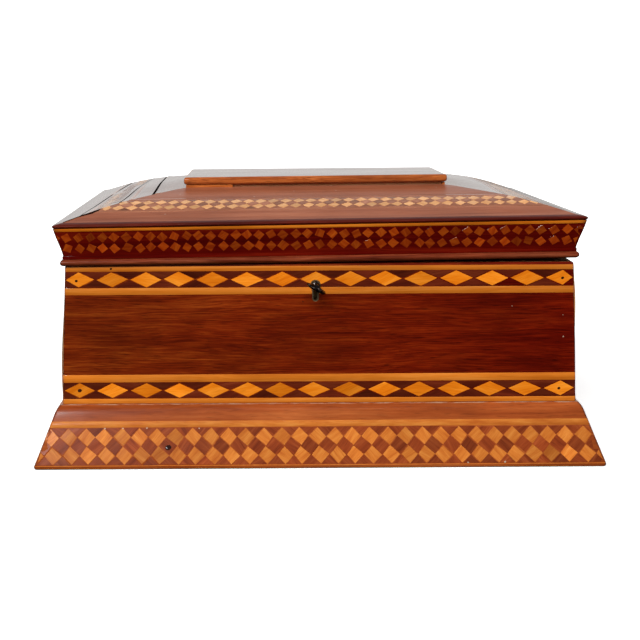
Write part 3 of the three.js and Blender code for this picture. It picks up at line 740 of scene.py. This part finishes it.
bead_brown = wood("bead_brown", ((66, 18, 8), (112, 46, 24), (150, 76, 46)), figure=(0.012, 0.5),
                  pores=0.6, patina=0.6, worn=(36, 14, 10), coat=0.35, coat_roughness=0.25, relief=0.6)
BEAD_LOW, BEAD_HIGH = 120.3, 122.9
LIP_DROP = 1.3


def half_round(middle_inset, middle_height, radius, steps):
    """Points of a half circle from its top, out and round to its foot."""
    angle = np.linspace(0, math.pi, steps + 1)
    return np.stack([middle_inset - radius * np.sin(angle), middle_height + radius * np.cos(angle)], axis=-1)


for side in ALONG:
    drop = 0.0 if side == "back" else LIP_DROP
    radius = (BEAD_HIGH - BEAD_LOW + drop) / 2
    nose = half_round(17.5 + radius, BEAD_HIGH - radius, radius, 14)
    lip = [(19.8, BEAD_LOW - LIP_DROP), (19.8, BEAD_LOW)] if drop else []
    outline = [(WALL_INNER, BEAD_LOW), (WALL_INNER, BEAD_HIGH), *nose.tolist(), *lip]
    count = len(outline)
    board = Stuff()
    carried(board, side, outline, [1 < i < 2 + len(nose) for i in range(count)], WORN_CORNER, True, 40,
            [0] * count)
    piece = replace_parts(board.mesh("bead_" + side, [bead_brown]), "lid_bead_" + side)
    # The front is cut for the link plate, and the back for the hinges.
    if side == "front":
        cut_block(piece, (-28.7, -99.6, 119), (23.7, -91.9, 123.1))
    if side == "back":
        for x in HINGES:
            left, right = x - HINGE_SEAT_HALF, x + HINGE_SEAT_HALF
            cut_block(piece, (left, HINGE_SEAT_FRONT, 119), (right, 123, 121.7))
            cut_block(piece, (left, LID_BACK, 119), (right, 123, 125))
    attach(piece, "lid")

# The frieze: boards that lean out to the eaves in a shallow wave, over a small fillet. They are
# veneered in a very dark wood with two rows of small pale squares, cut and laid by eye, under a string.

frieze_dark = wood("frieze_dark", ((62, 2, 0), (86, 6, 1), (112, 22, 4)), figure=(0.01, 0.3),
                   pores=0.3, worn=(30, 8, 6), worn_width=1.0)
small_square = wood("small_square", ((124, 36, 3), (149, 55, 7), (167, 76, 15)), figure=(0.06, 0.4),
                    pores=0.3, patina=0.45, tone_gain=0.26)
frieze_string = wood("frieze_string", ((170, 84, 8), (196, 108, 22), (212, 128, 40)),
                     figure=(0.012, 0.5), pores=0.3, tone_gain=0.2, patina=0.5, worn=(90, 46, 22),
                     worn_width=4.0)
FRIEZE_FOOT, FRIEZE_HEIGHT = 124.75, 17
share = np.linspace(0, 1, 15)
lean = share * 0.6 + (share**2 * (3 - 2 * share)) * 0.4
frieze_line = np.stack([19.3 + (14.8 - 19.3) * lean, FRIEZE_FOOT + FRIEZE_HEIGHT * share], axis=-1)
frieze_face = Face(frieze_line, WORN_CORNER, lid=True)
frieze_outline = [(WALL_INNER, 123.05), (WALL_INNER, 141.75), *frieze_line[::-1].tolist(),
                  (18.9, FRIEZE_FOOT), (18.9, 123.05)]
count = len(frieze_outline)
for side in ALONG:
    board = Stuff()
    carried(board, side, frieze_outline, [i > 1 for i in range(count)], WORN_CORNER, True, 40,
            [0, 1] + [1] * (count - 3) + [0])
    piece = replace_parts(board.mesh("frieze_" + side, [bare_wood, frieze_dark]), "lid_frieze_" + side)
    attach(piece, "lid")
    inlay = Stuff()
    foot, head = frieze_face.up(126.2), frieze_face.up(139.5)
    upper = row_of(side, -147.8, 6.95, 0.004, rng, 0.3)
    lower = upper + 0.2 + rng.normal(0, 0.3, len(upper))
    for shapes in squares_on_points(upper, lower, foot, (foot + head) / 2, head)[:2]:
        shapes = shrunk(inside(frieze_face, side, shapes), 0.93, rng, 0.2, 0.18)
        tone = rng.normal(0, 0.6, len(shapes))
        turn = rng.uniform(-1.5, 1.5, len(shapes))
        laid_leaves(inlay, frieze_face, side, shapes, 0, tone, turn, rng, cuts=2)
    laid_string(inlay, frieze_face, side, frieze_face.up(139.8), frieze_face.up(141.6), 1, 0.0, rng)
    piece = inlay.mesh("frieze_inlay_" + side, [small_square, frieze_string])
    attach(piece, "lid")

# The roof: four hipped boards that rise from a rounded eave to the tablet, veneered in brown mahogany
# with a band of leaning pale rhombs between thin strings. On the left slope the veneer has split open
# along three lines.

roof_brown = wood("roof_brown", ((120, 62, 40), (146, 82, 56), (164, 100, 72)), figure=(0.006, 0.12),
                  pores=0.3, worn=(80, 40, 24), worn_width=0.8, specks=0.03, coat=0.7,
                  coat_roughness=0.34)
eave_dark = wood("eave_dark", ((52, 8, 4), (78, 18, 8), (104, 34, 16)), patina=0.5, coat=0.4,
                 coat_roughness=0.3)
gap_dark = wood("gap_dark", ((14, 8, 6), (30, 16, 12), (52, 30, 24)), pores=0.0, patina=0.4,
                roughness=0.8, coat=0.0)
# A darker copy of the roof's veneer for the left and right slopes, as painted shade.
roof_side_shaded_brown = wood("roof_side_shaded_brown", ((58, 28, 18), (84, 44, 30), (104, 60, 44)),
                       figure=(0.006, 0.12), pores=0.3, worn=(60, 34, 24), worn_width=0.8,
                       specks=0.03, coat=1.0, coat_roughness=0.12, coat_ior=1.65)
roof_pale = wood("roof_pale", ((196, 132, 76), (214, 156, 102), (226, 174, 124)), figure=(0.05, 0.35),
                 pores=0.1, patina=0.15)
roof_dark = wood("roof_dark", ((124, 72, 50), (148, 92, 66), (168, 110, 82)), figure=(0.03, 0.3),
                 pores=0.3, patina=0.15, tone_gain=0.3)
HEAD_INSET, HEAD_HEIGHT = 87.4, 157.4
BOARD_FOOT = 150.9
SLOPE_STRETCH = 1.0174
LEFT_HALF_LENGTH = 78
slope_start, slope_end = np.array((EAVE_INSET, EAVE_HEIGHT)), np.array((HEAD_INSET, HEAD_HEIGHT))
roof_nose = np.concatenate([half_round(15, 142.9, 1, 8)[::-1][:5],
                            bend((14, 143.0), (14.2, 144.0), slope_start, 6)[1:-1]]).tolist()
roof_face = Face(np.linspace(slope_start, slope_end, 12), 0.5, lid=True)

# Each split as its inset, width, depth, lifted edge, slant along the side and strip of lost veneer.
SPLITS = ((29.5, 1.0, 0.9, 0.2, 11.5, 0.9),
          (50.0, 1.0, 0.8, 0.25, 6.5, 0.8),
          (68.5, 1.7, 0.9, 0.45, -1.0, 0.3))


def split_line(side):
    """The slope's line from the eave to the tablet. On the left it has three notches: the veneer's edge
    lifts on one side of each, and on the other side a strip of it is lost, so that the dark ground shows
    there and in the gap. With it come the slant of each point and whether the stretch after it lies in
    a gap."""
    stops, rise, gap = np.linspace(0, 1, 13).tolist(), [0.0] * 13, [0] * 13
    for inset, width, depth, lift, _, loss in SPLITS if side == "left" else ():
        at = (inset - EAVE_INSET) / ROOF_RUN
        half = width / ROOF_RUN / 2
        keep = [i for i, stop in enumerate(stops) if abs(stop - at) > 6 * half or not 0 < stop < 1]
        stops, rise, gap = ([values[i] for i in keep] for values in (stops, rise, gap))
        bare = at - half - loss / ROOF_RUN
        stops += [bare - 2 * half, bare, at - half, at - 0.8 * half, at + 0.8 * half, at + half]
        stops += [at + 6 * half]
        rise += [0.0, 0.0, 0.0, -depth, -depth, lift, 0.0]
        gap += [0, 1, 1, 1, 1, 0, 0]
    order = np.argsort(stops)
    t = np.array(stops)[order][:, None]
    line = slope_start * (1 - t) + slope_end * t
    slant = np.interp(line[:, 0], (EAVE_INSET, *(split[0] for split in SPLITS), HEAD_INSET),
                      (0, *(split[4] for split in SPLITS), 0))
    line[:, 1] += np.array(rise)[order]
    return line, slant * (side == "left"), np.array(gap)[order]


for side in ALONG:
    long_side = side in ("front", "back")
    line, slant, gap = split_line(side)
    outline = [(37.6, 141.9), *roof_nose, *line.tolist(), (HEAD_INSET + 10, HEAD_HEIGHT),
               (HEAD_INSET + 10, BOARD_FOOT), (HEAD_INSET, BOARD_FOOT)]
    count = len(outline)
    slants = np.concatenate([np.zeros(1 + len(roof_nose)), slant, np.zeros(3)])
    stuff_of = [0] + [2 if long_side else 1] * len(roof_nose) + (1 + 2 * gap).tolist() + [0] * 3
    worn_to = np.interp([inset for inset, _ in outline], (EAVE_INSET, 30), (2.4, 0.5))
    board = Stuff()
    carried(board, side, outline, [0 < i < count - 3 for i in range(count)], worn_to, True, 40, stuff_of,
            slants)
    # The left and right slopes take the darker copy, which paints shade on them.
    brown = roof_brown if long_side else roof_side_shaded_brown
    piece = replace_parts(board.mesh("roof_board_" + side, [bare_wood, brown, eave_dark, gap_dark]),
                        "roof_" + side)
    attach(piece, "lid")
    inlay = Stuff()
    foot, head = 17.4, 35.4
    upper = row_of(side, -118.0, 7.6, 0.0, rng, 0.2)
    lower = upper - 2.0 + rng.normal(0, 0.2, len(upper))
    for i, shapes in enumerate(squares_on_points(upper, lower, foot, (foot + head) / 2, head)):
        pale = i < 2
        shapes = shrunk(inside(roof_face, side, shapes), 0.92 if pale else 0.9, rng, 0.12, 0.04)
        for split_at, _, _, _, slanted, _ in SPLITS[:2] if side == "left" else ():
            from_eave = (1 - shapes[..., 0] / LEFT_HALF_LENGTH) / 2 * slanted + split_at - EAVE_INSET
            over = from_eave * SLOPE_STRETCH - shapes[..., 1]
            shapes = shapes[(over.min(axis=1) > 1.5) | (over.max(axis=1) < -1.2)]
        # On the left and right slopes the leaves are made darker in tone as painted shade.
        tone = rng.normal(0, 0.5, len(shapes)) - (0 if long_side else 1.6)
        turn = rng.uniform(-1, 1, len(shapes))
        laid_leaves(inlay, roof_face, side, shapes, 0 if pale else 1, tone, turn, rng, cuts=2)
    for low, high, spans in ((14.4, 16.8, [(-88, -9), (37, 88)]), (36.0, 38.6, [(-18, 66)])):
        laid_string(inlay, roof_face, side, low, high, 1, 0.3, rng, spans if side == "left" else None)
    # A ragged strip of the front's veneer is missing along the left hip.
    if side == "front":
        inset = np.array([20, 26, 29, 32, 36, 39.5])
        lost = np.array([0.4, 0.8, 2.0, 3.6, 2.6, 0.4])
        edge = np.stack([inset - FOOT_HALF[side][0], (inset - EAVE_INSET) * SLOPE_STRETCH], axis=-1)
        loss = np.concatenate([edge, (edge + np.stack([lost, lost * 0], axis=-1))[::-1]])[None]
        laid_marks(inlay, roof_face, side, loss, 2, 0.05, rng)
    piece = inlay.mesh("roof_inlay_" + side, [roof_pale, roof_dark, gap_dark])
    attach(piece, "lid")

# The tablet: a mahogany slab with rounded edges, glued on a plate that closes the roof. Edging strips
# run under it; most of the front one has broken away.

tablet_brown = wood("tablet_brown", ((120, 46, 16), (176, 92, 40), (210, 126, 64)), figure=(0.02, 0.35),
                    pores=0.8, patina=0.6, relief=0.6, solid=True, fine_share=0.5)
# A darker copy of the slab's mahogany for its top: painted shade on the top.
tablet_top_shaded_brown = wood("tablet_top_shaded_brown", ((66, 28, 16), (90, 42, 26), (108, 56, 36)),
                        figure=(0.012, 0.15), pores=0.3, patina=0.2, solid=True, coat=1.0, coat_ior=1.6)
plate_wood = wood("plate_wood", ((150, 100, 68), (184, 132, 94), (204, 156, 116)), figure=(0.02, 0.4),
                  pores=0.3, patina=0.2, roughness=0.7, coat=0.0, relief=0.6, solid=True)
SLAB_HALF = np.array((83.9, 36.9))
SLAB_LOW, SLAB_HIGH = 159.7, 164.4
SLAB_ROUNDING = 1.7
SLAB_CORNER = 1.2


def slab_ring(inset, height):
    """The slab's rectangle drawn in by an inset, with rounded corners at a height, as points in order:
    each side's straight part in equal steps and each corner in equal turns."""
    steps, straight = 5, 10
    turn = np.linspace(0, math.pi / 2, steps + 1)
    rings = []
    for i, way in enumerate(((1, -1), (1, 1), (-1, 1), (-1, -1))):
        a = turn + (i - 1) * math.pi / 2
        round_part = SLAB_CORNER * np.stack([np.cos(a), np.sin(a)], axis=-1)
        rings.append(np.array(way) * (SLAB_HALF - inset - SLAB_CORNER) + round_part)
    corners = np.concatenate(rings)
    start, end = corners[steps :: steps + 1], np.roll(corners[:: steps + 1], -1, axis=0)
    t = (np.arange(1, straight) / straight)[None, :, None]
    between = start[:, None] * (1 - t) + end[:, None] * t
    whole = np.concatenate([np.concatenate([rings[i], between[i]]) for i in range(4)])
    lifted = height + lid_lift(whole[:, 0], whole[:, 1])
    return np.concatenate([whole, lifted[:, None]], axis=1) / 1000


angle = np.linspace(-math.pi / 2, math.pi / 2, 11)
flat = (SLAB_HIGH - SLAB_LOW) / 2 - SLAB_ROUNDING
nose_in = SLAB_ROUNDING * (1 - np.cos(angle))
nose_up = (SLAB_LOW + SLAB_HIGH) / 2 + np.sign(angle.round(6)) * flat + SLAB_ROUNDING * np.sin(angle)
rings = [slab_ring(inset, height) for inset, height in (
    (12, SLAB_LOW), *zip(nose_in, nose_up), (4, SLAB_HIGH), (12, SLAB_HIGH))]
points = np.concatenate(rings)
walls, ends = bar_faces(len(rings), len(rings[0]))
# The top's faces take the darker copy, which paints shade there.
on_top = np.arange(len(walls)) // len(rings[0]) >= len(rings) - 3
slab = Stuff()
slab.add(points, (walls, ends), [*on_top, 0, 1], points[:, :2], 0.0, 50.0)
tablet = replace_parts(slab.mesh("tablet_slab", [tablet_brown, tablet_top_shaded_brown], sharp=50), "tablet")
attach(tablet, "lid")
dressed("tablet_plate", plate_wood)
for side in ALONG:
    dressed("tablet_strip_" + side, tablet_brown)

# The brass: two butt hinges at the back, the box lock with its selvedge on the rim, the link plate that
# it catches under the lid, and the thin liner of the keyhole.


def metal(name, shades, roughness, stains=0.5):
    """Old metal: two shades clouded into each other, rougher where it is darker."""
    finish, tree, shader = new_finish(name)
    bright, dark = (shade(*values) for values in shades)
    place = step(tree, "TexCoord").outputs["Object"]
    place = step(tree, "Mapping", {"Vector": place, "Scale": TO_MILLIMETRES}).outputs[0]
    tarnish = reached(tree, cloud(tree, place, (0.35, 0.35, 0.35), 5, 0.65), 0.3, 0.55)
    scratch = cloud(tree, place, (0.4, 6.0, 6.0), 3)
    colour = mixed(tree, reckoned(tree, "MULTIPLY", tarnish, stains), bright, dark)
    tree.links.new(colour, shader.inputs["Base Color"])
    tree.links.new(reached(tree, tarnish, 0, 1, roughness, roughness + 0.22), shader.inputs["Roughness"])
    bump = step(tree, "Bump", {"Height": scratch, "Strength": 0.2, "Distance": 0.0001})
    tree.links.new(bump.outputs[0], shader.inputs["Normal"])
    shader.inputs["Metallic"].default_value = 1.0
    return finish


hinge_brass = metal("hinge_brass", ((176, 140, 78), (104, 78, 44)), 0.32)
lock_brass = metal("lock_brass", ((220, 200, 160), (140, 116, 82)), 0.28)
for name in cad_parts:
    if name.startswith("hinge_"):
        dressed(name, hinge_brass)
for name in ("lock", "link_plate", "keyhole_liner"):
    dressed(name, lock_brass)

# The key: a small steel key of one casting, with an oval bow, two collars on its shank and a plain bit.
# It stands in the lock, turned so that the bow's right side hangs low.

key_steel = metal("key_steel", ((214, 204, 198), (24, 17, 17)), 0.1, stains=0.97)
KEY_TURN = math.radians(30)
BOW_RADIUS, BOW_WIRE, BOW_FLAT = 5.1, 1.0, 0.72
BOW_MIDDLE = -111.53 - BOW_RADIUS * BOW_FLAT


def turned_bar(line):
    """A bar turned about the Y axis from (radius, y) points, closed at both ends."""
    around = 28
    line = np.array(line, float)
    a = np.linspace(0, 2 * math.pi, around, endpoint=False)
    points = np.stack([line[:, :1] * np.cos(a), np.repeat(line[:, 1:], around, axis=1),
                       line[:, :1] * np.sin(a)], axis=-1).reshape(-1, 3)
    return points, listed(bar_faces(len(line), around))


def bow_ring():
    """An oval ring in the plane of X and Y: a circle of the wire's radius carried round an oval."""
    around, across = 56, 16
    a = np.linspace(0, 2 * math.pi, around, endpoint=False)[:, None]
    b = np.linspace(0, 2 * math.pi, across, endpoint=False)[None]
    out = BOW_RADIUS + BOW_WIRE * np.cos(b)
    points = np.stack([out * np.cos(a), BOW_MIDDLE + out * np.sin(a) * BOW_FLAT,
                       BOW_WIRE * np.sin(b) + 0 * a], axis=-1)
    grid = np.arange(around * across).reshape(around, across)
    faces = np.stack([grid, np.roll(grid, -1, 0), np.roll(np.roll(grid, -1, 0), -1, 1), np.roll(grid, -1, 1)],
                     axis=-1).reshape(-1, 4)
    return points.reshape(-1, 3), faces.tolist()


def key_part(name, points, faces):
    """A part of the key from its own axes, in millimetres: turned about Y and set in the keyhole."""
    x, y, z = points.T
    cos, sin = math.cos(KEY_TURN), math.sin(KEY_TURN)
    points = np.stack([x * cos + z * sin + KEYHOLE[0], y, z * cos - x * sin + KEYHOLE[1]], axis=-1)
    return plain_object(name, points / 1000, faces)


shank_line = [(0.4, -112.0), (1.45, -111.6), (1.5, -110.9), (1.9, -110.7), (2.0, -110.2), (1.9, -109.7),
              (1.45, -109.5), (1.45, -106.7), (2.0, -106.5), (2.4, -106.1), (2.4, -105.1), (2.0, -104.8),
              (1.45, -104.6), (1.45, -94.4), (1.2, -94.3)]
shank = key_part("key_shape", *turned_bar(shank_line))
joined(shank, key_part("bow", *bow_ring()), "UNION")
bit_corners = block_corners((0, -98, -0.75), (6.6, -94.3, 0.75))
joined(shank, key_part("bit", bit_corners, BLOCK_FACES), "UNION")
shank.name = "key_cast"
shank.data.materials.clear()
shank.data.materials.append(key_steel)
shank.data.shade_smooth()
shank.data.set_sharp_from_angle(angle=math.radians(40))
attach(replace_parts(shank, "key"), "box")

# The studio: a plain pale floor and backdrop, soft light from all round that is brightest at the back,
# and two soft lamps at the front left, a broad one that the varnish doesn't mirror and a small one that
# it does. The camera stands where the photograph was taken.


def flat_sheet(name, corners, glow):
    """A pale sheet that glows more with the distance from the box. The box isn't lit by it."""
    sheet = plain_object(name, corners, [[0, 1, 2, 3]])
    finish, tree, shader = new_finish(name)
    shader.inputs["Base Color"].default_value = (0.9, 0.9, 0.9, 1)
    shader.inputs["Roughness"].default_value = 0.9
    shader.inputs["Emission Color"].default_value = (1, 1, 1, 1)
    place = step(tree, "TexCoord").outputs["Object"]
    away = step(tree, "VectorMath", {0: place}, operation="LENGTH").outputs[1]
    tree.links.new(reached(tree, away, 0.35, 0.9, glow, 1.3), shader.inputs["Emission Strength"])
    sheet.data.materials.append(finish)
    sheet.visible_diffuse = False
    sheet.visible_glossy = False
    sheet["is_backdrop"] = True
    return sheet


FLOOR = -0.0002
flat_sheet("floor", [(-40, -40, FLOOR), (40, -40, FLOOR), (40, 40, FLOOR), (-40, 40, FLOOR)], 0.55)
backdrop = flat_sheet("backdrop", [(-60, 40, -1), (60, 40, -1), (60, 40, 30), (-60, 40, 30)], 1.2)
backdrop.visible_shadow = False

world = bpy.data.worlds.new("studio")
bpy.context.scene.world = world
world.use_nodes = True
sky = world.node_tree
way = step(sky, "SeparateXYZ", {0: step(sky, "TexCoord").outputs["Generated"]})
base = reached(sky, way.outputs[2], -0.02, 0.3, 0.01, 0.16)
rise = reached(sky, way.outputs[2], -0.09, -0.01)
fall = reached(sky, way.outputs[2], 0.56, 0.3)
behind = reached(sky, way.outputs[1], 0.0, 0.4)
glow = reckoned(sky, "MULTIPLY", reckoned(sky, "MULTIPLY", rise, fall), behind)
strength = reckoned(sky, "ADD", base, reckoned(sky, "MULTIPLY", glow, 0.74))
sky.links.new(strength, sky.nodes["Background"].inputs["Strength"])
sky.nodes["Background"].inputs["Color"].default_value = (1.0, 0.985, 0.965, 1)


def lamp(name, place, wide, tall, power, mirrored):
    """A soft lamp that faces the box. The varnish mirrors it or not."""
    data = bpy.data.lights.new(name, "AREA")
    data.shape, data.size, data.size_y, data.energy = "RECTANGLE", wide, tall, power
    made = bpy.data.objects.new(name, data)
    made.location = place
    made.visible_glossy = mirrored
    made.rotation_mode = "QUATERNION"
    made.rotation_quaternion = (Vector(place) - Vector((0, 0, 0.08))).to_track_quat("Z", "Y")
    bpy.context.scene.collection.objects.link(made)


lamp("front_lamp", (-0.4, -1.55, 1.5), 1.5, 0.35, 57, False)
lamp("glint_lamp", (-0.7, -1.5, 0.9), 0.35, 0.12, 6, True)

yaw, pitch, roll = 0.0058, 0.2068, -0.0046
ahead = np.array([math.sin(yaw) * math.cos(pitch), math.cos(yaw) * math.cos(pitch), -math.sin(pitch)])
level = np.array([math.cos(yaw), -math.sin(yaw), 0.0])
upright = np.cross(level, ahead)
image_right = math.cos(roll) * level + math.sin(roll) * upright
image_up = math.cos(roll) * upright - math.sin(roll) * level
camera_data = bpy.data.cameras.new("camera")
camera_data.sensor_width, camera_data.lens, camera_data.shift_x = 36, 65.54, 0.0657
camera = bpy.data.objects.new("camera", camera_data)
axes = np.stack([image_right, image_up, -ahead], axis=1)
camera.matrix_world = Matrix.Translation((-0.02867, -0.78092, 0.2282)) @ Matrix(axes.tolist()).to_4x4()
bpy.context.scene.collection.objects.link(camera)
bpy.context.scene.camera = camera
bpy.context.scene.view_settings.view_transform = "Standard"

low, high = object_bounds()
